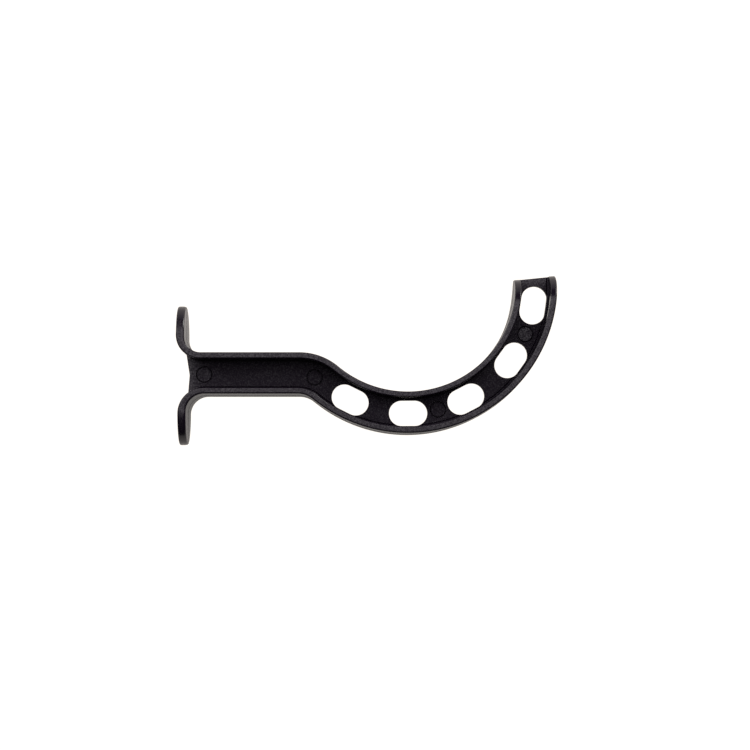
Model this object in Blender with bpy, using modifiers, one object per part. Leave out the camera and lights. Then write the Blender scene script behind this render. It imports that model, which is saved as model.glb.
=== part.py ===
"""Oropharyngeal airway of the open, I-section kind, in the 60 mm size.

One black moulding. Two thin rails run side by side from the mouth flange to the curved tip: the
tongue rail on the hollow side of the curve and the palate rail on the outer side. A web at
mid-depth joins them all the way, so a channel runs along each side of it, and five slots through
the web join the channels. At the mouth end each rail turns outwards into one ear of the flange.

The airway is drawn lying on its side. X runs from the flange to the tip, Y from the palate side
to the tongue side, and Z up through the depth. It is first laid out from the patient's side of
the flange, on the centre line of the straight run, and then centred over the origin.
"""
import math

import bmesh
import bpy
import numpy as np

MM = 0.001

# Overall size
NOMINAL_LENGTH = 60.0 * MM      # patient's side of the flange to the far side of the curve
DEPTH = 10.5 * MM               # across the rails, from one side face to the other

# Straight run and curve, all to the centre lines of the rails
RAIL_SPACING = 5.73 * MM        # between the two rails on the straight run
CURVE_RISE = 14.57 * MM         # from the straight run's centre line up to the curve's centre
TONGUE_CURVE_RADIUS = 18.0 * MM
PALATE_CURVE_RADIUS = 23.75 * MM
TONGUE_BEND_RADIUS = 9.35 * MM  # the convex bend that leads down off the straight run
PALATE_BEND_RADIUS = 4.3 * MM
TONGUE_TIP_ANGLE = math.radians(93.2)   # where each rail ends, from the bottom of the curve
PALATE_TIP_ANGLE = math.radians(93.9)

# Flange
EAR_THICKNESS = 1.33 * MM
TONGUE_EAR_REACH = 11.2 * MM    # from the straight run's centre line to the end of the ear
PALATE_EAR_REACH = 11.5 * MM
TONGUE_EAR_STEP = 0.32 * MM     # the tongue ear stands this much further out
TONGUE_EAR_RADIUS = 3.2 * MM    # the turn from the ear into the rail
PALATE_EAR_RADIUS = 3.55 * MM

# Wall of the rails at the side faces
STRAIGHT_THICKNESS = 0.98 * MM
TONGUE_CURVE_THICKNESS = 0.90 * MM
PALATE_CURVE_THICKNESS = 1.03 * MM
CURVE_THICKNESS_FROM = math.radians(0)  # the stretch of the curve with those two walls
CURVE_THICKNESS_TO = math.radians(52)
TIP_THICKNESS = 1.02 * MM
TIP_THICKNESS_FROM = math.radians(84)
DRAFT = math.radians(0.4)       # each wall thickens towards the parting line at mid-depth
EDGE_ROUND = 0.15 * MM

# Web
WEB_THICKNESS = 1.0 * MM
WEB_ROOT_ROUND = 0.3 * MM       # where the web meets a rail
WEB_START = 0.28                # share of the ear's turn at which the web begins
WEB_EDGE_HOLLOW = 0.72 * MM     # the hollow of the web's edge between the ears
WEB_TIP_STEP = 0.08 * MM        # the web stops this much short of the rails' ends

# Slots through the web
SLOT_LENGTH = 6.26 * MM
SLOT_WIDTH = 4.15 * MM
SLOT_COUNT = 5
SLOT_FIRST_ANGLE = math.radians(-26.5)  # from the bottom of the curve
SLOT_PITCH_ANGLE = math.radians(26.92)

# Ejector-pin marks on one side of the web
PIN_MARK_DIAMETER = 2.6 * MM
PIN_MARK_SINK = 0.1 * MM
PIN_MARK_FLANGE_OFFSET = 2.6 * MM   # first mark, from the patient's side of the flange
PIN_MARK_BEND_OFFSET = 2.35 * MM    # second mark, from the start of the tongue rail's bend
PIN_MARK_BEND_DROP = 0.45 * MM
PIN_MARK_AFTER_SLOTS = (2, 4)       # the others lie midway between a slot and the next

# Facets
ARC_STEP = math.radians(4.5)
END_STEPS = 8                   # along each quarter of a rail's rounded end
ROOT_STEPS = 3
SLOT_END_STEPS = 10
PIN_MARK_SIDES = 28

MOULDING_COLOUR = (0.022, 0.020, 0.022, 1.0)
MOULDING_ROUGHNESS = 0.42

QUARTER = math.pi / 2
HALF_DEPTH = DEPTH / 2
CURVE_CENTRE_X = NOMINAL_LENGTH - PALATE_CURVE_RADIUS - TIP_THICKNESS / 2
SLOT_RADIUS = (TONGUE_CURVE_RADIUS + PALATE_CURVE_RADIUS) / 2


def clear_scene():
    """Remove whatever the scene holds before the airway is built."""
    for item in list(bpy.data.objects):
        bpy.data.objects.remove(item, do_unlink=True)


def new_collection(name, parent):
    group = bpy.data.collections.new(name)
    parent.children.link(group)
    return group


def moulding_material():
    """Black polyethylene with a satin mould finish."""
    material = bpy.data.materials.new("black_moulding")
    material.use_nodes = True
    shader = material.node_tree.nodes["Principled BSDF"]
    shader.inputs["Base Color"].default_value = MOULDING_COLOUR
    shader.inputs["Roughness"].default_value = MOULDING_ROUGHNESS
    shader.inputs["Metallic"].default_value = 0.0
    return material


class Rail:
    """Centre line of one rail: ear, turn, straight run, bend and curve, end to end.

    side is +1 for the tongue rail, which lies above the centre line, and -1 for the palate rail.
    """

    def __init__(
        self, side, ear_step, ear_reach, ear_radius, bend_radius, curve_radius, curve_thickness,
        tip_angle,
    ):
        level = side * RAIL_SPACING / 2
        ear_x = -ear_step - EAR_THICKNESS / 2
        # The bend touches the straight run and the curve, so its centre follows from both
        drop = CURVE_RISE - (level - bend_radius)
        slope = math.acos(drop / (bend_radius + curve_radius))
        bend_x = CURVE_CENTRE_X - (bend_radius + curve_radius) * math.sin(slope)
        self.slope = slope
        self.bend_x = bend_x
        self.start = (ear_x, side * ear_reach)
        self.heading = -side * QUARTER
        # Each run has its length and the angle it turns through, positive to the left
        self.runs = [
            (ear_reach - abs(level) - ear_radius, 0.0),
            (ear_radius * QUARTER, side * QUARTER),
            (bend_x - ear_x - ear_radius, 0.0),
            (bend_radius * slope, -slope),
            (curve_radius * (slope + tip_angle), slope + tip_angle),
        ]
        self.joints = np.cumsum([0.0] + [length for length, turn in self.runs])
        self.length = self.joints[-1]
        self.curve_radius = curve_radius
        self.curve_thickness = curve_thickness
        self.tip_angle = tip_angle

    def follow(self, distance):
        """Points and left-hand normals at distances along the centre line."""
        distance = np.asarray(distance, dtype=float)
        points = np.zeros((len(distance), 2))
        normals = np.zeros((len(distance), 2))
        here = np.array(self.start)
        heading = self.heading
        for begin, (length, turn) in zip(self.joints, self.runs):
            share = np.clip((distance - begin) / length, 0.0, 1.0)
            reached = distance >= begin
            now = heading + turn * share
            if turn:
                radius = length / turn
                east = radius * (np.sin(now) - math.sin(heading))
                north = -radius * (np.cos(now) - math.cos(heading))
            else:
                east = length * share * math.cos(heading)
                north = length * share * math.sin(heading)
            points[reached] = (here + np.stack([east, north], axis=1))[reached]
            normals[reached] = np.stack([-np.sin(now), np.cos(now)], axis=1)[reached]
            here, heading = self.end_of(here, heading, length, turn)
        return points, normals

    @staticmethod
    def end_of(here, heading, length, turn):
        """Where a run that starts at a point and heading comes out."""
        if not turn:
            return here + length * np.array([math.cos(heading), math.sin(heading)]), heading
        radius = length / turn
        out = heading + turn
        east = radius * (math.sin(out) - math.sin(heading))
        north = -radius * (math.cos(out) - math.cos(heading))
        return here + np.array([east, north]), out

    def angle_to_distance(self, angle):
        """Distance along the rail at an angle on the curve, from the curve's bottom."""
        return self.joints[4] + self.curve_radius * (angle + self.slope)

    def thickness(self, distance):
        """Wall at the side faces: thick ears, an even straight run, the curve's own, the tip's."""
        places = [0.0, self.joints[1], self.joints[2], self.joints[4]]
        walls = [EAR_THICKNESS, EAR_THICKNESS, STRAIGHT_THICKNESS, STRAIGHT_THICKNESS]
        for angle, wall in (
            (CURVE_THICKNESS_FROM, self.curve_thickness),
            (CURVE_THICKNESS_TO, self.curve_thickness),
            (TIP_THICKNESS_FROM, TIP_THICKNESS),
            (self.tip_angle, TIP_THICKNESS),
        ):
            places.append(self.angle_to_distance(angle))
            walls.append(wall)
        return np.interp(distance, places, walls)

    def draft_gain(self, distance):
        """How much thicker the wall is at mid-depth. The ears' faces are flat."""
        full = 2 * HALF_DEPTH * math.tan(DRAFT)
        return np.interp(distance, [self.joints[1], self.joints[2]], [0.0, full])

    def shares(self, run):
        """Even steps along one run, as shares of it from 0 to 1."""
        turn = abs(self.runs[run][1])
        return np.linspace(0.0, 1.0, max(1, math.ceil(turn / ARC_STEP)) + 1)

    def at_share(self, run, share):
        return self.joints[run] + share * self.runs[run][0]

    def stations(self):
        """Distances at which the rail is sectioned: every facet, and the rounded ends' steps."""
        facets = np.concatenate([self.at_share(run, self.shares(run)) for run in range(5)])
        rounding = HALF_DEPTH * (1 - np.cos(np.linspace(0.0, QUARTER, END_STEPS + 1)))
        inner = facets[(facets > rounding[-1]) & (facets < self.length - rounding[-1])]
        merged = np.concatenate([rounding, inner, self.length - rounding])
        merged = np.sort(merged)
        apart = np.diff(merged, prepend=-1.0) > 0.02 * MM
        return merged[apart]


def grid_object(name, rows, columns, places, shares, group):
    """A sheet of rows by columns, with a weight at each vertex that sets its wall."""
    mesh = bpy.data.meshes.new(name)
    sheet = bmesh.new()
    bmesh.ops.create_grid(sheet, x_segments=columns - 1, y_segments=rows - 1, size=1.0)
    for vertex in sheet.verts:
        column = round((vertex.co.x + 1) / 2 * (columns - 1))
        row = round((vertex.co.y + 1) / 2 * (rows - 1))
        vertex.co = places[row, column]
        vertex.index = row * columns + column
    sheet.verts.sort()
    sheet.to_mesh(mesh)
    sheet.free()
    item = bpy.data.objects.new(name, mesh)
    group.objects.link(item)
    wall = item.vertex_groups.new(name="wall")
    for index, share in enumerate(shares.ravel()):
        wall.add([index], float(share), "REPLACE")
    return item


def thicken(item, wall):
    """Give a sheet its wall, to the share of it that each vertex's weight says."""
    weld = item.modifiers.new("weld_poles", "WELD")
    weld.merge_threshold = 0.01 * MM
    solid = item.modifiers.new("wall", "SOLIDIFY")
    solid.thickness = wall
    solid.offset = 0.0
    solid.use_even_offset = True
    solid.vertex_group = "wall"
    return solid


def rail_object(name, rail, group):
    """A flat strip with round ends, bent along the rail's centre line."""
    distance = rail.stations()
    points, normals = rail.follow(distance)
    into_end = np.minimum(np.minimum(distance, rail.length - distance), HALF_DEPTH)
    half = np.sqrt(np.maximum(HALF_DEPTH**2 - (HALF_DEPTH - into_end) ** 2, 0.0))
    across = np.array([-1.0, 0.0, 1.0])
    places = np.zeros((len(distance), len(across), 3))
    places[:, :, 0] = points[:, :1]
    places[:, :, 1] = points[:, 1:]
    places[:, :, 2] = half[:, None] * across[None, :]
    side_share = np.abs(places[:, :, 2]) / HALF_DEPTH
    gain = rail.draft_gain(distance)[:, None] * (1 - side_share)
    walls = rail.thickness(distance)[:, None] + gain
    widest = float(walls.max())
    item = grid_object(name, len(distance), len(across), places, walls / widest, group)
    thicken(item, widest)
    rounding = item.modifiers.new("edge_round", "BEVEL")
    rounding.width = EDGE_ROUND
    rounding.segments = 2
    rounding.limit_method = "ANGLE"
    rounding.angle_limit = math.radians(50)
    return item


def root_profile(half_wall):
    """Distance from a rail's centre line and thickness of the web, out to where it is flat."""
    turn = np.linspace(0.0, QUARTER, ROOT_STEPS + 1)
    out = half_wall[:, None] + WEB_ROOT_ROUND * (1 - np.cos(turn))[None, :]
    thick = WEB_THICKNESS + 2 * WEB_ROOT_ROUND * (1 - np.sin(turn))
    distance = np.concatenate([np.zeros((len(half_wall), 1)), out], axis=1)
    thick = np.concatenate([[thick[0]], thick])
    return distance, thick


def web_object(tongue, palate, group):
    """A sheet between the rails, thickest where it meets them, from the flange to the tip."""
    pairs = []
    hollow = []
    for run in range(1, 5):
        shares = tongue.shares(run)
        if run == 1:
            shares = WEB_START + (1 - WEB_START) * np.linspace(0.0, 1.0, len(shares) // 2 + 1)
        if run == 4:
            shares = shares * (1 - WEB_TIP_STEP / tongue.runs[run][0])
        for share in shares[(0 if run == 1 else 1):]:
            pairs.append((tongue.at_share(run, share), palate.at_share(run, share)))
            hollow.append((1 - share) / (1 - WEB_START) if run == 1 else 0.0)
    along = np.array(pairs)
    upper = tongue.follow(along[:, 0])[0]
    lower = palate.follow(along[:, 1])[0]
    span = np.linalg.norm(lower - upper, axis=1)[:, None]
    top, thick = root_profile((tongue.thickness(along[:, 0]) + tongue.draft_gain(along[:, 0])) / 2)
    low, thick = root_profile((palate.thickness(along[:, 1]) + palate.draft_gain(along[:, 1])) / 2)
    middle = np.full((len(along), 1), 0.5)
    share = np.concatenate([top / span, middle, 1 - low[:, ::-1] / span], axis=1)
    walls = np.concatenate([thick, [WEB_THICKNESS], thick[::-1]])
    places = np.zeros(share.shape + (3,))
    places[:, :, :2] = upper[:, None] * (1 - share[..., None]) + lower[:, None] * share[..., None]
    bow = WEB_EDGE_HOLLOW * np.array(hollow)[:, None]
    places[:, :, 0] += bow * 4 * share * (1 - share)
    widest = float(walls.max())
    weights = np.tile(walls / widest, (len(along), 1))
    item = grid_object("airway_body", len(along), len(walls), places, weights, group)
    thicken(item, widest)
    return item


def stadium_cutter_mesh():
    """A slot's outline, straight sides and round ends, as a prism deeper than the web."""
    curve = bpy.data.curves.new("slot_outline", "CURVE")
    curve.dimensions = "2D"
    curve.fill_mode = "BOTH"
    curve.extrude = WEB_THICKNESS
    radius = SLOT_WIDTH / 2
    reach = SLOT_LENGTH / 2 - radius
    turn = np.linspace(-QUARTER, QUARTER, SLOT_END_STEPS + 1)
    right = np.stack([reach + radius * np.cos(turn), radius * np.sin(turn)], axis=1)
    outline = np.concatenate([right, -right])
    spline = curve.splines.new("POLY")
    spline.points.add(len(outline) - 1)
    spline.use_cyclic_u = True
    for point, (x, y) in zip(spline.points, outline):
        point.co = (x, y, 0.0, 1.0)
    return mesh_from_curve(curve)


def mesh_from_curve(curve):
    """The curve's solid as a mesh, with its caps welded on."""
    carrier = bpy.data.objects.new("outline_carrier", curve)
    bpy.context.scene.collection.objects.link(carrier)
    solid = carrier.evaluated_get(bpy.context.evaluated_depsgraph_get())
    mesh = bpy.data.meshes.new_from_object(solid)
    bpy.data.objects.remove(carrier, do_unlink=True)
    welded = bmesh.new()
    welded.from_mesh(mesh)
    bmesh.ops.remove_doubles(welded, verts=welded.verts, dist=0.001 * MM)
    bmesh.ops.recalc_face_normals(welded, faces=welded.faces)
    welded.to_mesh(mesh)
    welded.free()
    return mesh


def place_slots(group):
    """Five like slots, evenly spaced along the curve on its middle line."""
    mesh = stadium_cutter_mesh()
    for number in range(SLOT_COUNT):
        angle = SLOT_FIRST_ANGLE + number * SLOT_PITCH_ANGLE
        cutter = bpy.data.objects.new(f"slot_cutter_{number + 1}", mesh)
        cutter.location = on_curve(SLOT_RADIUS, angle)
        cutter.rotation_euler.z = angle
        group.objects.link(cutter)


def on_curve(radius, angle):
    """A place at a radius and an angle from the bottom of the curve."""
    return (CURVE_CENTRE_X + radius * math.sin(angle), CURVE_RISE - radius * math.cos(angle), 0.0)


def place_pin_marks(tongue, group):
    """Shallow round sinkings left by the mould's ejector pins, on the upper side of the web."""
    mesh = bpy.data.meshes.new("pin_mark")
    disc = bmesh.new()
    bmesh.ops.create_cone(
        disc, cap_ends=True, segments=PIN_MARK_SIDES, depth=2 * PIN_MARK_SINK,
        radius1=PIN_MARK_DIAMETER / 2, radius2=PIN_MARK_DIAMETER / 2,
    )
    disc.to_mesh(mesh)
    disc.free()
    centres = [
        (PIN_MARK_FLANGE_OFFSET, 0.0, 0.0),
        (tongue.bend_x + PIN_MARK_BEND_OFFSET, -PIN_MARK_BEND_DROP, 0.0),
    ]
    for slot in PIN_MARK_AFTER_SLOTS:
        angle = SLOT_FIRST_ANGLE + (slot - 0.5) * SLOT_PITCH_ANGLE
        centres.append(on_curve(SLOT_RADIUS, angle))
    for number, centre in enumerate(centres):
        cutter = bpy.data.objects.new(f"pin_mark_cutter_{number + 1}", mesh)
        cutter.location = (centre[0], centre[1], WEB_THICKNESS / 2)
        group.objects.link(cutter)


def cut(item, name, group):
    trim = item.modifiers.new(name, "BOOLEAN")
    trim.operation = "DIFFERENCE"
    trim.operand_type = "COLLECTION"
    trim.collection = group


def join(item, other):
    union = item.modifiers.new("join_" + other.name, "BOOLEAN")
    union.operation = "UNION"
    union.object = other


def build_airway():
    clear_scene()
    scene = bpy.context.scene.collection
    airway = new_collection("oropharyngeal_airway", scene)
    tools = new_collection("cutters", scene)
    slots = new_collection("slot_cutters", tools)
    marks = new_collection("pin_mark_cutters", tools)
    rails = new_collection("rail_blanks", tools)

    tongue = Rail(
        +1, TONGUE_EAR_STEP, TONGUE_EAR_REACH, TONGUE_EAR_RADIUS,
        TONGUE_BEND_RADIUS, TONGUE_CURVE_RADIUS, TONGUE_CURVE_THICKNESS, TONGUE_TIP_ANGLE,
    )
    palate = Rail(
        -1, 0.0, PALATE_EAR_REACH, PALATE_EAR_RADIUS,
        PALATE_BEND_RADIUS, PALATE_CURVE_RADIUS, PALATE_CURVE_THICKNESS, PALATE_TIP_ANGLE,
    )
    tongue_rail = rail_object("tongue_rail", tongue, rails)
    palate_rail = rail_object("palate_rail", palate, rails)
    body = web_object(tongue, palate, airway)
    place_slots(slots)
    place_pin_marks(tongue, marks)
    cut(body, "slots", slots)
    cut(body, "pin_marks", marks)
    join(body, tongue_rail)
    join(body, palate_rail)
    body.data.materials.append(moulding_material())

    base = bpy.data.objects.new("airway", None)
    airway.objects.link(base)
    for group in (slots, marks, rails):
        for tool in group.objects:
            tool.hide_render = True
            tool.display_type = "WIRE"
            tool.parent = base
    body.parent = base
    centre_over_origin(body, base)
    body.data.shade_smooth()
    body.data.set_sharp_from_angle(angle=math.radians(35))


def centre_over_origin(body, base):
    """Lay the airway on the ground plane, with the middle of its box over the origin."""
    bpy.context.view_layer.update()
    shape = body.evaluated_get(bpy.context.evaluated_depsgraph_get())
    corners = np.array([tuple(corner) for corner in shape.bound_box])
    low, high = corners.min(axis=0), corners.max(axis=0)
    base.location = (-(low[0] + high[0]) / 2, -(low[1] + high[1]) / 2, -low[2])


build_airway()
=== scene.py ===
"""Looks of the oropharyngeal airway: one black moulding of the open, I-section kind."""
import math

import bmesh
import bpy
import numpy as np
from mathutils import Matrix, Vector


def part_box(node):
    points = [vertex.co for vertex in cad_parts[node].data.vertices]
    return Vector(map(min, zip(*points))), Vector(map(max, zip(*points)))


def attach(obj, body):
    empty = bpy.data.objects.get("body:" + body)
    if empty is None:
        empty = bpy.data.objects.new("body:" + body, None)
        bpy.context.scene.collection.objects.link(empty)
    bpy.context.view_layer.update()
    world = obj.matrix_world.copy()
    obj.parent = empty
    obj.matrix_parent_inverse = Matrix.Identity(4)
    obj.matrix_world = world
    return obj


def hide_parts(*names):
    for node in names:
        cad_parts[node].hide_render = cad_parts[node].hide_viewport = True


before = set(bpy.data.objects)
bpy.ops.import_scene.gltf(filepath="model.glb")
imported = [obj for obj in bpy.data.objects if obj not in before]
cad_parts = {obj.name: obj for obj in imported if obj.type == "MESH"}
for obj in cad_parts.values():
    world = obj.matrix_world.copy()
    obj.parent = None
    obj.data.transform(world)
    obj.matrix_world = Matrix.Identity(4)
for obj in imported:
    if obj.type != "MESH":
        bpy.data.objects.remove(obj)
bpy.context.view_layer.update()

MM = 0.001
QUARTER = math.pi / 2


# The lines of the two rails, thin strips of black polyethylene moulded in one with the web. Each
# starts as an ear of the mouth flange, runs straight, bends down and follows the curve to the tip,
# the tongue rail on the curve's hollow side and the palate rail on its outer side.
low, high = (np.array(corner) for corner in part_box("airway_body"))
HALF_DEPTH = (high[2] - low[2]) / 2
MID_DEPTH = (high[2] + low[2]) / 2
NOMINAL_LENGTH = 60.0 * MM      # patient's side of the flange to the far side of the curve
RAIL_SPACING = 5.73 * MM
CURVE_RISE = 14.57 * MM         # straight run's centre line up to the curve's centre
EAR_THICKNESS = 1.33 * MM
STRAIGHT_THICKNESS = 0.98 * MM
TIP_THICKNESS = 1.02 * MM
TONGUE_EAR_STEP = 0.32 * MM
PALATE_EAR_REACH = 11.5 * MM
CURVE_THICKNESS_SPAN = (0.0, math.radians(52))      # angles from the bottom of the curve
TIP_THICKNESS_FROM = math.radians(84)
DRAFT = math.radians(0.4)
TONGUE_CURVE_RADIUS = 18.0 * MM
PALATE_CURVE_RADIUS = 23.75 * MM
CURVE_CENTRE_X = NOMINAL_LENGTH - PALATE_CURVE_RADIUS - TIP_THICKNESS / 2
EAR_TURN, STRAIGHT, BEND, CURVE = 1, 2, 3, 4        # the runs of a rail that follow its ear
# The rails are laid out from the patient's side of the flange, which the CAD body's box places
LAYOUT_ORIGIN = np.array([low[0] + TONGUE_EAR_STEP + EAR_THICKNESS, low[1] + PALATE_EAR_REACH])


def rail_line(side, ear_step, ear_reach, ear_radius, bend_radius, curve_radius, curve_wall, tip):
    """Runs of a rail's centre line from its ear's end to its tip, as (begin, length, turn).

    The bend touches the straight run and the curve, so the cosine of its turn is the height of
    the curve's centre over the bend's, divided by the sum of the two radii.
    """
    level = side * RAIL_SPACING / 2
    slope = math.acos((CURVE_RISE - level + bend_radius) / (bend_radius + curve_radius))
    bend_x = CURVE_CENTRE_X - (bend_radius + curve_radius) * math.sin(slope)
    ear_x = -ear_step - EAR_THICKNESS / 2
    lengths = [
        ear_reach - abs(level) - ear_radius,
        ear_radius * QUARTER,
        bend_x - ear_x - ear_radius,
        bend_radius * slope,
        curve_radius * (slope + tip),
    ]
    turns = [0.0, side * QUARTER, 0.0, -slope, slope + tip]
    begins = np.cumsum([0.0] + lengths)
    places = [0.0, begins[EAR_TURN], begins[STRAIGHT], begins[CURVE]]
    walls = [EAR_THICKNESS, EAR_THICKNESS, STRAIGHT_THICKNESS, STRAIGHT_THICKNESS]
    for angle, wall in (
        (CURVE_THICKNESS_SPAN[0], curve_wall), (CURVE_THICKNESS_SPAN[1], curve_wall),
        (TIP_THICKNESS_FROM, TIP_THICKNESS), (tip, TIP_THICKNESS),
    ):
        places.append(begins[CURVE] + curve_radius * (angle + slope))
        walls.append(wall)
    return {
        "side": side, "start": np.array([ear_x, side * ear_reach]), "heading": -side * QUARTER,
        "runs": list(zip(begins, lengths, turns)), "length": begins[-1],
        "ear_turn": [begins[EAR_TURN], begins[STRAIGHT]],
        "wall_places": places, "walls": walls, "bend_x": bend_x,
    }


def direction_of(angle):
    """Unit vectors at angles from the X axis: the cosine and the sine of each."""
    return np.stack([np.cos(angle), np.sin(angle)], -1)


def follow(line, distance):
    """Points and left-hand normals at distances along a centre line.

    A point is the start plus what has been walked of each run. A straight run is walked along
    its heading. A bent one adds, along X, its radius times the gain in the sine of the heading,
    and along Y its radius times the loss in the cosine.
    """
    point = np.zeros(distance.shape + (2,)) + line["start"]
    heading = np.full(distance.shape, line["heading"])
    for begin, length, turn in line["runs"]:
        walked = np.clip((distance - begin) / length, 0.0, 1.0)
        ahead = heading + turn * walked
        if turn:
            step = np.stack([np.sin(ahead) - np.sin(heading), np.cos(heading) - np.cos(ahead)], -1)
            point += length / turn * step
        else:
            point += length * walked[..., None] * direction_of(heading)
        heading = ahead
    return point, np.stack([-np.sin(heading), np.cos(heading)], -1)


def half_wall(line, distance, height):
    """Half the rail's wall: what it is at the side faces, plus the draft's gain to mid-depth.

    The whole wall gains twice the depth under the side face times the tangent of the draft, which
    sets in over the ear's turn.
    """
    wall = np.interp(distance, line["wall_places"], line["walls"])
    gain = np.interp(distance, line["ear_turn"], [0.0, 2 * HALF_DEPTH * math.tan(DRAFT)])
    return (wall + gain * (1 - np.abs(height) / HALF_DEPTH)) / 2


tongue = rail_line(
    side=+1, ear_step=TONGUE_EAR_STEP, ear_reach=11.2 * MM, ear_radius=3.2 * MM,
    bend_radius=9.35 * MM, curve_radius=TONGUE_CURVE_RADIUS, curve_wall=0.90 * MM,
    tip=math.radians(93.2),
)
palate = rail_line(
    side=-1, ear_step=0.0, ear_reach=PALATE_EAR_REACH, ear_radius=3.55 * MM,
    bend_radius=4.3 * MM, curve_radius=PALATE_CURVE_RADIUS, curve_wall=1.03 * MM,
    tip=math.radians(93.9),
)


# The rails' surfaces. Each rail is a plate of black polyethylene with half-round ends and soft
# edges. The mould's halves left a fine raised line round it at mid-depth. The mould was polished
# outside, spark-eroded finely on the side faces and brightly polished along the channels.
POLISHED = 0.22                 # roughness
FINE = 0.42
BRIGHT = 0.08
EAR_FINISH_FADE = (0.78, 0.90)  # sines of the outline's direction that the fine finish fades over
TIP_FINISH_FADE = (0.94, 0.992)
SIDE_FINISH_FADE = (0.0, 1 / 3)     # how far a face has turned across as the fine finish fades
CHANNEL_FINISH_FADE = (0.8, 1.0)    # and as the bright one sets in
OUTER_EDGE_ROUND = 0.25 * MM
CHANNEL_EDGE_ROUND = 0.16 * MM
EAR_EDGE_SPREAD = 2.0           # how many times further the roundings reach across at the ears
PARTING_LINE_HEIGHT = 0.035 * MM
PARTING_LINE_HALF_WIDTH = 0.06 * MM
# The points of a rail lie closer together at the parting line, at its edges, and where the web's
# fillet ends on the channel's wall
PARTING_LINE_POINTS = np.array([0.0, 0.5, 1.0, 1.9])    # in half widths of the line
PARTING_LINE_TURNS = np.array([0.012, 0.005, 0.0, -0.005, -0.012])     # round the rail's ends
FILLET_END_POINTS = np.array([0.55, 0.72, 0.80, 0.88, 1.1]) * MM
RIM_POINTS = np.array([0.06, 0.35, 0.65, 0.94])         # shares of the way over the side face
OUTER_POINTS_FROM = 0.7 * MM
OUTER_POINT_COUNT = 6
CHANNEL_POINTS_FROM = 1.6 * MM
CHANNEL_POINT_COUNT = 5
POINTS_TO = 2.0                 # where even points end before the side face, in roundings
OUTER_LAST_POINT = 1.25
CHANNEL_LAST_POINT = 1.35
RAIL_STEP = 0.26 * MM
END_TURN_STEPS = 30
EDGE_STEPS = 6
WELD_DISTANCE = 1e-7
SLIVER_LENGTH = 1e-8


def rail_profile():
    """Half a section of the plate, from mid-depth on the outer face over the rim to the channel.

    Gives, for each point, its reach out from the middle line, the share of the half wall and the
    inset that together place it across the plate, and how much it faces across. Over the outer
    edge the reach is short of the side face by the rounding's radius times one minus the sine of
    the turn, and the inset is the radius times one minus the cosine. Over the channel's edge the
    sine and the cosine change places.
    """
    turn = np.linspace(0.0, QUARTER, EDGE_STEPS + 1)
    face = PARTING_LINE_POINTS * PARTING_LINE_HALF_WIDTH
    outer_end = HALF_DEPTH - POINTS_TO * OUTER_EDGE_ROUND
    outer = np.concatenate([
        face, np.linspace(OUTER_POINTS_FROM, outer_end, OUTER_POINT_COUNT),
        [HALF_DEPTH - OUTER_LAST_POINT * OUTER_EDGE_ROUND],
    ])
    channel_end = HALF_DEPTH - POINTS_TO * CHANNEL_EDGE_ROUND
    channel = np.concatenate([
        face, FILLET_END_POINTS,
        np.linspace(CHANNEL_POINTS_FROM, channel_end, CHANNEL_POINT_COUNT),
        [HALF_DEPTH - CHANNEL_LAST_POINT * CHANNEL_EDGE_ROUND],
    ])[::-1]
    reach = np.concatenate([
        outer, HALF_DEPTH - OUTER_EDGE_ROUND * (1 - np.sin(turn)),
        np.full(len(RIM_POINTS), HALF_DEPTH),
        HALF_DEPTH - CHANNEL_EDGE_ROUND * (1 - np.cos(turn)), channel,
    ])
    share = np.concatenate([
        np.ones(len(outer) + len(turn)), 1 - 2 * RIM_POINTS,
        -np.ones(len(turn) + len(channel)),
    ])
    inset = np.concatenate([
        np.zeros(len(outer)), -OUTER_EDGE_ROUND * (1 - np.cos(turn)),
        CHANNEL_EDGE_ROUND * RIM_POINTS - OUTER_EDGE_ROUND * (1 - RIM_POINTS),
        CHANNEL_EDGE_ROUND * (1 - np.sin(turn)), np.zeros(len(channel)),
    ])
    facing = np.concatenate([
        np.ones(len(outer)), np.cos(turn), np.zeros(len(RIM_POINTS)), -np.sin(turn),
        -np.ones(len(channel)),
    ])
    return reach, share, inset, facing


def rail_surface(line):
    """Points of a rail, and the roughness at each.

    The profile is carried round the plate's outline and bent along the rail. A point's distance
    along the rail is that of its foot on the middle line plus its reach times the cosine of the
    outline's direction there, and its height is its reach times the sine. Across the plate it
    lies at its share of the half wall plus its inset, and the parting line stands proud of that.
    """
    reach, share, inset, facing = rail_profile()
    end = line["length"] - HALF_DEPTH
    run = np.linspace(HALF_DEPTH, end, int((end - HALF_DEPTH) / RAIL_STEP))
    turn = np.linspace(0.0, QUARTER, END_TURN_STEPS)[1:-1]
    turn = np.concatenate([QUARTER - turn, PARTING_LINE_TURNS, -turn])
    up, down = np.full(len(run), QUARTER), np.full(len(run), -QUARTER)
    direction = np.concatenate([up, turn, down, turn - math.pi])
    foot = np.concatenate([
        run, np.full(len(turn), end), run[::-1], np.full(len(turn), HALF_DEPTH),
    ])
    distance = foot[:, None] + reach * np.cos(direction)[:, None]
    height = reach * np.sin(direction)[:, None]
    ridge = PARTING_LINE_HEIGHT * np.clip(1 - np.abs(height) / PARTING_LINE_HALF_WIDTH, 0.0, 1.0)
    softer = np.interp(distance, line["ear_turn"], [EAR_EDGE_SPREAD, 1.0])
    across = half_wall(line, distance, height) * share + inset * softer + facing * ridge
    point, normal = follow(line, np.clip(distance, 0.0, line["length"]))
    point = LAYOUT_ORIGIN + point + normal * (line["side"] * across)[..., None]
    surface = np.concatenate([point, (MID_DEPTH + height)[..., None]], -1)
    return surface, rail_finish(direction, facing)


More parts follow.
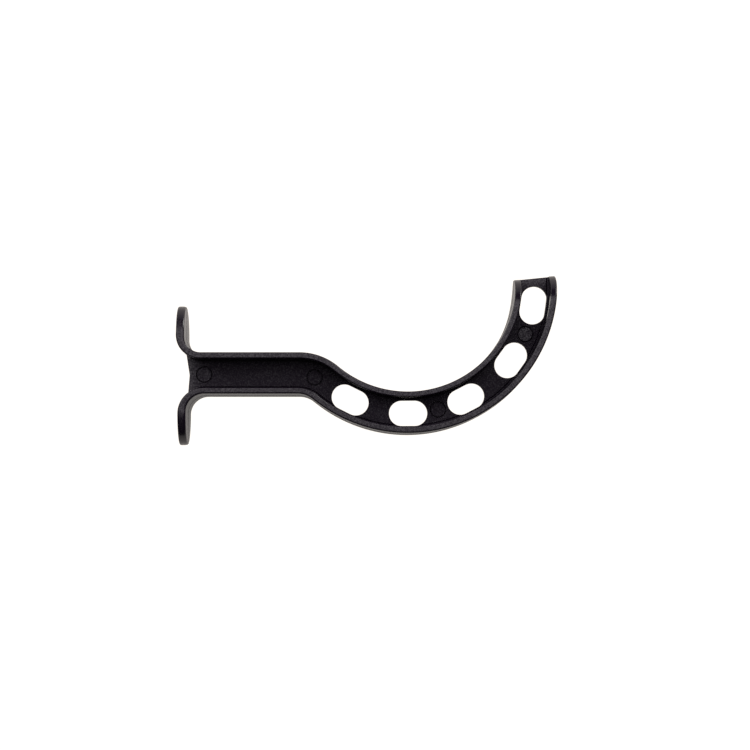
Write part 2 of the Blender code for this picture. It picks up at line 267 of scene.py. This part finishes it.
def rail_finish(direction, facing):
    """Roughness at a rail's points: polished, but fine on the side faces and bright in the channels.

    A side face keeps its fine finish a little way round the plate's ends, until the sine of the
    outline's direction has fallen past the end's own pair of values, and loses it over its edges
    as they turn to face across.
    """
    sine = np.abs(np.sin(direction))
    at_ear = np.interp(sine, EAR_FINISH_FADE, [0.0, 1.0])
    at_tip = np.interp(sine, TIP_FINISH_FADE, [0.0, 1.0])
    flat = np.where(np.cos(direction) > 0, at_tip, at_ear)
    level = np.interp(np.abs(facing), SIDE_FINISH_FADE, [1.0, 0.0])
    inside = np.interp(-facing, CHANNEL_FINISH_FADE, [0.0, 1.0])
    fine = (FINE - POLISHED) * flat[:, None] * level
    return POLISHED + fine + (BRIGHT - POLISHED) * inside


def closed_piece(name, points, finish):
    """A closed mesh from a grid of points whose rows run round in a ring.

    Each face joins a row to the next and a column to the next, and carries the mean roughness of
    its four points for the material. Points that meet are merged.
    """
    rows, columns = points.shape[:2]
    index = np.arange(rows * columns).reshape(rows, columns)
    ahead = np.roll(index, -1, axis=0)
    faces = np.stack([index[:, :-1], ahead[:, :-1], ahead[:, 1:], index[:, 1:]], -1)
    mesh = bpy.data.meshes.new(name)
    mesh.from_pydata(points.reshape(-1, 3), [], faces.reshape(-1, 4))
    layer = mesh.attributes.new("finish", "FLOAT", "FACE")
    finish = np.broadcast_to(finish, points.shape[:2]).ravel()
    layer.data.foreach_set("value", finish[faces.reshape(-1, 4)].mean(axis=1))
    shape = bmesh.new()
    shape.from_mesh(mesh)
    bmesh.ops.remove_doubles(shape, verts=shape.verts, dist=WELD_DISTANCE)
    bmesh.ops.dissolve_degenerate(shape, edges=shape.edges, dist=SLIVER_LENGTH)
    bmesh.ops.recalc_face_normals(shape, faces=shape.faces)
    shape.to_mesh(mesh)
    shape.free()
    piece = bpy.data.objects.new(name, mesh)
    bpy.context.scene.collection.objects.link(piece)
    return piece


tongue_rail = closed_piece("tongue_rail", *rail_surface(tongue))
palate_rail = closed_piece("palate_rail", *rail_surface(palate))


# The web of black polyethylene, moulded in one with the rails, which it holds apart at mid-depth.
# It starts with a hollow edge in the turn of the ears. The mould's cores left its faces coarse and
# dull, though smoother at both ends, with a fine line beside the palate rail.
COARSE = 0.86                   # roughness
WORN = 0.43
WORN_AT_FLANGE = 4.6 * MM       # how far the worn finish reaches in from each end
WORN_AT_TIP = 2.2 * MM
CORE_LINE_WIDTH = 0.20 * MM
CORE_LINE_DEPTH = 0.20 * MM
# Points across the core's line, away from the rail, in shares of its width, then how deep it is
# at each in shares of its depth, and how far the bright finish has set in there
CORE_LINE_POINTS = np.array([0.03, 0.485, 0.515, 0.97, 1.0])
CORE_LINE_SINKS = np.array([0.0, 1.0, 1.0, 0.0, 0.0])
CORE_LINE_BRIGHT = np.array([1.0, 1.0, 1.0, 1.0, 0.0])
WEB_THICKNESS = 1.0 * MM
WEB_FILLET = 0.3 * MM
WEB_FILLET_SUNK = 0.014 * MM    # how far into the rail's wall the fillet starts
WEB_FILLET_STEPS = 8
WEB_START = 0.28                # share of the ear's turn at which the web begins
WEB_EDGE_HOLLOW = 0.72 * MM
WEB_TIP_STEP = 0.08 * MM        # how far short of the rails' tips the web ends
WEB_EDGE_ROUND = 0.16 * MM
WEB_STEPS = ((EAR_TURN, 14), (STRAIGHT, 60), (BEND, 20), (CURVE, 120))
WEB_START_GAP = 0.2             # shares of a run beside the web's ends without even steps
WEB_TIP_GAP = 0.005


def web_stations():
    """Distances along both rails, share of the ear's turn left, and rounding of the edge there.

    Both rails' runs are shared out in even steps. At the web's ends the stations go in by the
    rounding's radius times one minus the cosine of its turn, and down by it times one minus the
    sine.
    """
    turn = np.linspace(0.0, QUARTER, EDGE_STEPS + 1)
    edge = WEB_EDGE_ROUND * (1 - np.cos(turn))
    drop = WEB_EDGE_ROUND * (1 - np.sin(turn))
    along, hollow, sunk = [], [], []
    for run, steps in WEB_STEPS:
        begin = WEB_START if run == EAR_TURN else 0.0
        length = (tongue["runs"][run][1] + palate["runs"][run][1]) / 2
        share = np.linspace(begin, 1.0, steps + 1)[1:]
        fall = np.zeros(steps)
        if run == EAR_TURN:
            share = np.concatenate([begin + edge / length, share[share > begin + WEB_START_GAP]])
            fall = np.concatenate([drop, np.zeros(len(share) - len(drop))])
        if run == CURVE:
            close = 1.0 - (WEB_TIP_STEP + edge) / length
            share = np.concatenate([share[share < close[-1] - WEB_TIP_GAP], close[::-1]])
            fall = np.concatenate([np.zeros(len(share) - len(drop)), drop[::-1]])
        along.append(np.stack([
            tongue["runs"][run][0] + share * tongue["runs"][run][1],
            palate["runs"][run][0] + share * palate["runs"][run][1],
        ], -1))
        hollow.append((1 - share) / (1 - WEB_START) if run == EAR_TURN else 0 * share)
        sunk.append(fall)
    return np.concatenate(along), np.concatenate(hollow), np.concatenate(sunk)


def web_surface():
    """Points of the web: across it from rail to rail, and round its top and underside.

    Its height over mid-depth is half its thickness, plus, against a rail, the fillet's radius
    times one minus the sine of how far round the fillet the point is. The core's line is a
    V-shaped groove that takes the place of the last of the palate rail's fillet. In the ears'
    turn each point moves along X by a parabola across the web. Gives the roughness at each point
    as well.
    """
    along, hollow, sunk = web_stations()
    upper, lower = follow(tongue, along[:, 0])[0], follow(palate, along[:, 1])[0]
    span = np.linalg.norm(lower - upper, axis=-1)[:, None]
    turn = np.linspace(0.0, QUARTER, WEB_FILLET_STEPS + 1)
    fillet = WEB_FILLET * (1 - np.cos(turn)) - WEB_FILLET_SUNK
    rise = WEB_FILLET * (1 - np.sin(turn))
    groove = fillet[-2] + CORE_LINE_WIDTH * CORE_LINE_POINTS
    sink = CORE_LINE_DEPTH * CORE_LINE_SINKS
    near = half_wall(tongue, along[:, 0], 0.0)[:, None] + fillet
    far = half_wall(palate, along[:, 1], 0.0)[:, None] + np.concatenate([fillet[:-1], groove])
    start = np.zeros((len(along), 1))
    share = np.concatenate([start, near / span, start + 0.5, 1 - far[:, ::-1] / span, start + 1], 1)
    in_groove = np.concatenate([
        np.zeros(len(turn) + 2), CORE_LINE_BRIGHT[::-1], np.zeros(len(turn)),
    ])
    rise = np.concatenate([rise[:1], rise, [0.0], -sink[::-1], rise[-2::-1], rise[:1]])
    point = upper[:, None] * (1 - share[..., None]) + lower[:, None] * share[..., None]
    point[..., 0] += (WEB_EDGE_HOLLOW * hollow)[:, None] * 4 * share * (1 - share)
    height = WEB_THICKNESS / 2 + rise - sunk[:, None]
    top = np.concatenate([LAYOUT_ORIGIN + point, (MID_DEPTH + height)[..., None]], -1)
    under = np.concatenate([LAYOUT_ORIGIN + point, (MID_DEPTH - height)[..., None]], -1)
    ring = np.concatenate([top, under[:, ::-1]], 1)
    shut = (ring + np.concatenate([under, top[:, ::-1]], 1)) / 2
    ring = np.concatenate([shut[:1], ring, shut[-1:]])
    in_groove = np.concatenate([in_groove, in_groove[::-1]])
    return ring.swapaxes(0, 1), web_finish(along.mean(axis=1), in_groove)


def web_finish(middle, in_groove):
    """Roughness of the web: it falls by a smooth step to each end, and the groove is bright."""
    from_flange = (middle - middle[0]) / WORN_AT_FLANGE
    from_tip = (middle[-1] - middle) / WORN_AT_TIP
    near = np.clip(1 - np.minimum(from_flange, from_tip), 0.0, 1.0)
    finish = COARSE + (WORN - COARSE) * near * near * (3 - 2 * near)
    finish = np.concatenate([finish[:1], finish, finish[-1:]])
    return finish + (BRIGHT - finish) * in_groove[:, None]


web = closed_piece("web", *web_surface())


# Five slots through the web, where a suction catheter can cross over, and four round marks that
# the mould's ejector pins left on one side of it. Both are cut into the web with shaped plugs.
SLOT_COUNT = 5
SLOT_LENGTH = 6.26 * MM
SLOT_WIDTH = 4.15 * MM
SLOT_END_POINTS = 33
SLOT_RIM_ROUND = 0.05 * MM
SLOT_RIM_TURN = math.radians(76)
SLOT_RIM_POINTS = 6
SLOT_RUN_OUT = np.array([0.45, 0.5])    # how much the plug widens beyond the rim, in roundings
FIRST_SLOT_ANGLE = -26.5        # degrees from the bottom of the curve
SLOT_SPACING = 26.92
SLOT_ANGLES = np.radians(FIRST_SLOT_ANGLE + SLOT_SPACING * np.arange(SLOT_COUNT))
SLOT_RADIUS = (TONGUE_CURVE_RADIUS + PALATE_CURVE_RADIUS) / 2
PIN_MARK_RADIUS = 1.3 * MM
PIN_MARK_SINK = 0.1 * MM
PIN_MARK_GROOVE = 0.32 * MM
PIN_MARK_GROOVE_WIDTH = 0.18 * MM
PIN_MARK_OFFSETS = np.array([0.0, -1.2, -0.7, -0.4, 0.05, 0.3, 0.4, 0.0])     # in groove widths
PIN_MARK_FINISHES = (0.74, 0.86, 0.84, 0.62)    # the pin nearest the tip had a smoother face
FLANGE_MARK_X = 2.6 * MM
BEND_MARK_STEP = (2.35 * MM, -0.45 * MM)        # from the start of the tongue rail's bend
PLUG_TOP = 2 * WEB_THICKNESS    # height over mid-depth, well clear of the web
CIRCLE_POINTS = 96
CIRCLE = np.linspace(0.0, 2 * math.pi, CIRCLE_POINTS + 1)[:-1]


def on_curve(angle):
    """Place at an angle from the bottom of the curve, on the middle line of the web."""
    place = np.array([CURVE_CENTRE_X, CURVE_RISE]) + SLOT_RADIUS * np.array(
        [math.sin(angle), -math.cos(angle)])
    return LAYOUT_ORIGIN + place


def plug(name, outline, outward, offset, height, centre, angle, finish):
    """A closed plug: its outline carried up its heights, moved out at each by the offset there.

    The first and the last outline are drawn in to one point, and the plug is turned by its angle.
    """
    flat = outline[:, None] + outward[:, None] * offset[None, :, None]
    flat[:, [0, -1]] = flat[:, [0, -1]].mean(axis=0)
    spin = np.array([[math.cos(angle), math.sin(angle)], [-math.sin(angle), math.cos(angle)]])
    level = np.broadcast_to(MID_DEPTH + height, flat.shape[:2])
    return closed_piece(name, np.concatenate([centre + flat @ spin, level[..., None]], -1), finish)


def slot_plug(number, angle):
    """A plug with a slot's stadium outline, whose rim is rounded where it leaves the web's faces.

    The rim widens by its radius times one minus the cosine of its turn, and is under the face by
    it times one minus the sine. From the turn's end the plug runs out straight, clear of the web.
    """
    radius, reach = SLOT_WIDTH / 2, (SLOT_LENGTH - SLOT_WIDTH) / 2
    turn = np.linspace(-QUARTER, QUARTER, SLOT_END_POINTS)
    outward = np.concatenate([direction_of(turn), -direction_of(turn)])
    outline = outward * radius + np.repeat([[reach, 0.0], [-reach, 0.0]], len(turn), axis=0)
    rim_turn = np.linspace(0.0, SLOT_RIM_TURN, SLOT_RIM_POINTS)
    flare = SLOT_RIM_ROUND * (1 - np.cos(rim_turn))
    rise = WEB_THICKNESS / 2 - SLOT_RIM_ROUND * (1 - np.sin(rim_turn))
    run_out = SLOT_RIM_ROUND * SLOT_RUN_OUT
    clear = rise[-1] + run_out[0] / math.tan(SLOT_RIM_TURN)
    offset = np.concatenate([flare, flare[-1] + run_out])
    height = np.concatenate([rise, [clear, PLUG_TOP]])
    offset = np.concatenate([[0.0], offset[::-1], offset, [0.0]])
    height = np.concatenate([[-height[-1]], -height[::-1], height, [height[-1]]])
    centre = on_curve(angle)
    return plug(f"slot_plug_{number}", outline, outward, offset, height, centre, angle, FINE)


def pin_mark_plug(number, centre):
    """A plug for a shallow disc with a narrow, deeper groove round it."""
    outward = direction_of(CIRCLE)
    floor = WEB_THICKNESS / 2 - PIN_MARK_SINK
    groove = floor - PIN_MARK_GROOVE
    offset = PIN_MARK_OFFSETS * PIN_MARK_GROOVE_WIDTH
    height = np.array([floor, floor, floor, groove, groove, floor, PLUG_TOP, PLUG_TOP])
    return plug(
        f"pin_mark_plug_{number}", outward * PIN_MARK_RADIUS, outward, offset, height, centre,
        0.0, PIN_MARK_FINISHES[number])


mark_places = [
    LAYOUT_ORIGIN + np.array([FLANGE_MARK_X, 0.0]),
    LAYOUT_ORIGIN + np.array([tongue["bend_x"] + BEND_MARK_STEP[0], BEND_MARK_STEP[1]]),
    on_curve(SLOT_ANGLES[1:3].mean()),
    on_curve(SLOT_ANGLES[3:5].mean()),
]
plugs = [slot_plug(number, angle) for number, angle in enumerate(SLOT_ANGLES)]
plugs += [pin_mark_plug(number, place) for number, place in enumerate(mark_places)]


# The airway as it leaves the mould, one piece of black polyethylene: the rails, and the web with
# its slots and marks. Here they become one closed mesh, which stands for the CAD body.
SHORTEST_NORMAL = 1e-20         # keeps a vertex without faces from a division by nothing


def calm_normals(mesh):
    """Smooth shading that leaves flat faces flat beside their small roundings.

    A vertex's normal is the sum of its faces' normals, each times its face's area.
    """
    area = np.empty(len(mesh.polygons))
    normal = np.empty(len(mesh.polygons) * 3)
    corners = np.empty(len(mesh.polygons), int)
    vertex = np.empty(len(mesh.loops), int)
    mesh.polygons.foreach_get("area", area)
    mesh.polygons.foreach_get("normal", normal)
    mesh.polygons.foreach_get("loop_total", corners)
    mesh.loops.foreach_get("vertex_index", vertex)
    weighted = np.repeat(normal.reshape(-1, 3) * area[:, None], corners, axis=0)
    summed = np.zeros((len(mesh.vertices), 3))
    np.add.at(summed, vertex, weighted)
    summed /= np.maximum(np.linalg.norm(summed, axis=1, keepdims=True), SHORTEST_NORMAL)
    mesh.normals_split_custom_set_from_vertices(summed)


def one_moulding(name, base, cut, add):
    """The base with some pieces cut out of it and others added to it, as one closed mesh."""
    for tool, operation in [(t, "DIFFERENCE") for t in cut] + [(t, "UNION") for t in add]:
        step = base.modifiers.new(tool.name, "BOOLEAN")
        step.operation = operation
        step.solver = "MANIFOLD"
        step.object = tool
    shape = base.evaluated_get(bpy.context.evaluated_depsgraph_get())
    mesh = bpy.data.meshes.new_from_object(shape)
    mesh.name = name
    mesh.materials.clear()
    mesh.shade_smooth()
    for tool in [base] + cut + add:
        bpy.data.objects.remove(tool, do_unlink=True)
    calm_normals(mesh)
    piece = bpy.data.objects.new(name, mesh)
    bpy.context.scene.collection.objects.link(piece)
    return piece


moulding = one_moulding("airway_moulding", web, plugs, [tongue_rail, palate_rail])
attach(moulding, "root")
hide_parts("airway_body")


# The moulding's black polyethylene, a little purple in its darks. The mould's spark-eroded faces
# left a fine grain on it, which fades where the tool was polished, and its sheen wanders slightly.
PLASTIC = (0.0072, 0.0035, 0.0100, 1.0)
PLASTIC_IOR = 1.5
GRAIN_SIZE = 0.20 * MM
GRAIN_DETAIL = 2.0
GRAIN_ON_POLISH = 0.04          # share of the grain that is left where the tool was polished
GRAIN_ROUGHNESS = 1.6           # how much roughness the grain's full swing adds or takes away
GRAIN_HEIGHT = 0.00003
GRAIN_STRENGTH = 0.5
CLOUDS_PER_METRE = 260.0        # in the sheen
CLOUD_DETAIL = 3.0
CLOUD_ROUGHNESS = 0.10


class Value:
    """A socket of a node tree that takes part in sums. Each sum adds its Math node."""

    def __init__(self, tree, socket):
        self.tree = tree
        self.socket = socket

    def node(self, kind, settings=None, **inputs):
        """Any node: its settings first, then the values or links of its sockets, by name."""
        made = self.tree.nodes.new(kind)
        for name, value in (settings or {}).items():
            setattr(made, name, value)
        for name, value in inputs.items():
            key = int(name[1:]) if name[1:].isdigit() else name.replace("_", " ")
            if isinstance(value, Value):
                self.tree.links.new(value.socket, made.inputs[key])
            else:
                made.inputs[key].default_value = value
        return made

    def pick(self, made, output=0):
        return Value(self.tree, made.outputs[output])

    def sum(self, operation, first, second):
        return self.pick(self.node("ShaderNodeMath", {"operation": operation}, i0=first, i1=second))

    def __add__(self, other):
        return self.sum("ADD", self, other)

    def __sub__(self, other):
        return self.sum("SUBTRACT", self, other)

    def __mul__(self, other):
        return self.sum("MULTIPLY", self, other)

    def __rsub__(self, other):
        return self.sum("SUBTRACT", other, self)

    __radd__ = __add__
    __rmul__ = __mul__

    def ramp(self, start, end):
        """0 below start and 1 above end, smooth between."""
        return self.pick(self.node(
            "ShaderNodeMapRange", {"interpolation_type": "SMOOTHSTEP"},
            Value=self, From_Min=start, From_Max=end))


def black_plastic(name):
    """The moulding's material, with the grain in its roughness and its relief."""
    material = bpy.data.materials.new(name)
    material.use_nodes = True
    tree = material.node_tree
    shader = tree.nodes["Principled BSDF"]
    place = Value(tree, tree.nodes.new("ShaderNodeTexCoord").outputs["Object"])

    def swing(scale, detail):
        """Noise that swings as far below nothing as above it."""
        noise = place.node("ShaderNodeTexNoise", Vector=place, Scale=scale, Detail=detail)
        return place.pick(noise) - 0.5

    finish = place.pick(place.node("ShaderNodeAttribute", {"attribute_name": "finish"}), 2)
    coarse = GRAIN_ON_POLISH + (1 - GRAIN_ON_POLISH) * finish.ramp(POLISHED, FINE)
    grain = swing(1 / GRAIN_SIZE, GRAIN_DETAIL) * coarse
    cloud = swing(CLOUDS_PER_METRE, CLOUD_DETAIL)
    sheen = finish + CLOUD_ROUGHNESS * cloud + GRAIN_ROUGHNESS * grain
    tree.links.new(sheen.socket, shader.inputs["Roughness"])
    bump = place.node(
        "ShaderNodeBump", Strength=GRAIN_STRENGTH, Distance=GRAIN_HEIGHT, Height=grain)
    tree.links.new(bump.outputs[0], shader.inputs["Normal"])
    shader.inputs["Base Color"].default_value = PLASTIC
    shader.inputs["IOR"].default_value = PLASTIC_IOR
    return material


moulding.data.materials.append(black_plastic("black_moulding"))


# White table under a soft lamp that leans to the tongue side, with weaker panels low down beyond
# the tongue side, the tip and the flange, in a dim room. The camera looks down at the airway's side.
CAMERA_PLACE = Vector((0.971, -23.309, 343.96)) * MM
CAMERA_AIM = Vector((1.297, -2.379, 5.25)) * MM
CAMERA_LENS = 99.6
TABLE_RADIUS = 6.0
TABLE_COLOUR = (0.90, 0.86, 0.79, 1.0)
TABLE_ROUGHNESS = 0.9
GLOW_COLOUR = (1.0, 0.96, 0.91, 1.0)
GLOW_STRENGTH = 1.25
GLOW_SEEN = 0.9                 # share of the glow in what the camera sees of the table
GLOW_REFLECTED = 0.22           # and in what a glossy face reflects of it
WHITE = (1.0, 1.0, 1.0)


def white_table():
    """A flat round table top at the airway's underside, white where the camera sees it."""
    rim = np.column_stack([TABLE_RADIUS * direction_of(CIRCLE), np.full(CIRCLE_POINTS, low[2])])
    mesh = bpy.data.meshes.new("table")
    mesh.from_pydata(rim, [], [np.arange(CIRCLE_POINTS)])
    table = bpy.data.objects.new("table", mesh)
    bpy.context.scene.collection.objects.link(table)
    material = bpy.data.materials.new("white_table")
    material.use_nodes = True
    tree = material.node_tree
    shader = tree.nodes["Principled BSDF"]
    shader.inputs["Base Color"].default_value = TABLE_COLOUR
    shader.inputs["Roughness"].default_value = TABLE_ROUGHNESS
    rays = tree.nodes.new("ShaderNodeLightPath")
    camera = Value(tree, rays.outputs["Is Camera Ray"])
    glossy = Value(tree, rays.outputs["Is Glossy Ray"])
    glow = tree.nodes.new("ShaderNodeEmission")
    glow.inputs["Color"].default_value = GLOW_COLOUR
    glow.inputs["Strength"].default_value = GLOW_STRENGTH
    share = camera * GLOW_SEEN + glossy * GLOW_REFLECTED
    mixed = camera.node("ShaderNodeMixShader", i0=share)
    tree.links.new(shader.outputs[0], mixed.inputs[1])
    tree.links.new(glow.outputs[0], mixed.inputs[2])
    tree.links.new(mixed.outputs[0], tree.nodes["Material Output"].inputs["Surface"])
    mesh.materials.append(material)


def soft_lamp(name, place, size, power, colour=WHITE):
    """A rectangular panel of light that faces the middle of the airway."""
    lamp = bpy.data.lights.new(name, "AREA")
    lamp.shape = "RECTANGLE"
    lamp.size, lamp.size_y = size
    lamp.energy = power
    lamp.color = colour
    holder = bpy.data.objects.new(name, lamp)
    holder.location = place
    holder.rotation_euler = (-Vector(place)).to_track_quat("-Z", "Y").to_euler()
    bpy.context.scene.collection.objects.link(holder)


def room(light):
    """A plain room all round, white where the camera sees it."""
    world = bpy.data.worlds.new("room")
    bpy.context.scene.world = world
    world.use_nodes = True
    tree = world.node_tree
    ground = tree.nodes["Background"]
    ground.inputs["Color"].default_value = (light, light, light, 1.0)
    white = tree.nodes.new("ShaderNodeBackground")
    white.inputs["Color"].default_value = WHITE + (1.0,)
    rays = tree.nodes.new("ShaderNodeLightPath")
    mixed = tree.nodes.new("ShaderNodeMixShader")
    tree.links.new(rays.outputs["Is Camera Ray"], mixed.inputs[0])
    tree.links.new(ground.outputs[0], mixed.inputs[1])
    tree.links.new(white.outputs[0], mixed.inputs[2])
    tree.links.new(mixed.outputs[0], tree.nodes["World Output"].inputs["Surface"])


def camera_over(place, aim, lens):
    """A camera whose picture has the airway's X to the right."""
    back = (place - aim).normalized()
    right = Vector((0.0, 1.0, 0.0)).cross(back).normalized()
    turned = Matrix((right, back.cross(right), back)).transposed()
    data = bpy.data.cameras.new("camera")
    data.lens = lens
    data.sensor_width = 36
    data.clip_start, data.clip_end = 0.01, 20
    camera = bpy.data.objects.new("camera", data)
    camera.location = place
    camera.rotation_euler = turned.to_euler()
    bpy.context.scene.collection.objects.link(camera)
    bpy.context.scene.camera = camera


white_table()
soft_lamp(
    "overhead_softbox", place=(0.0, 0.225, 0.735), size=(1.1, 0.53), power=3.4,
    colour=(1.0, 0.94, 1.0))
soft_lamp("far_panel", place=(0.0, 0.78, 0.14), size=(1.6, 0.27), power=0.70)
soft_lamp(
    "tip_panel", place=(0.544, 0.544, 0.22), size=(0.34, 0.34), power=3.0,
    colour=(1.0, 1.0, 0.95))
soft_lamp("flange_panel", place=(-0.66, 0.38, 0.26), size=(0.34, 0.34), power=1.3)
room(light=0.03)
camera_over(CAMERA_PLACE, CAMERA_AIM, CAMERA_LENS)
bpy.context.scene.view_settings.view_transform = "Standard"
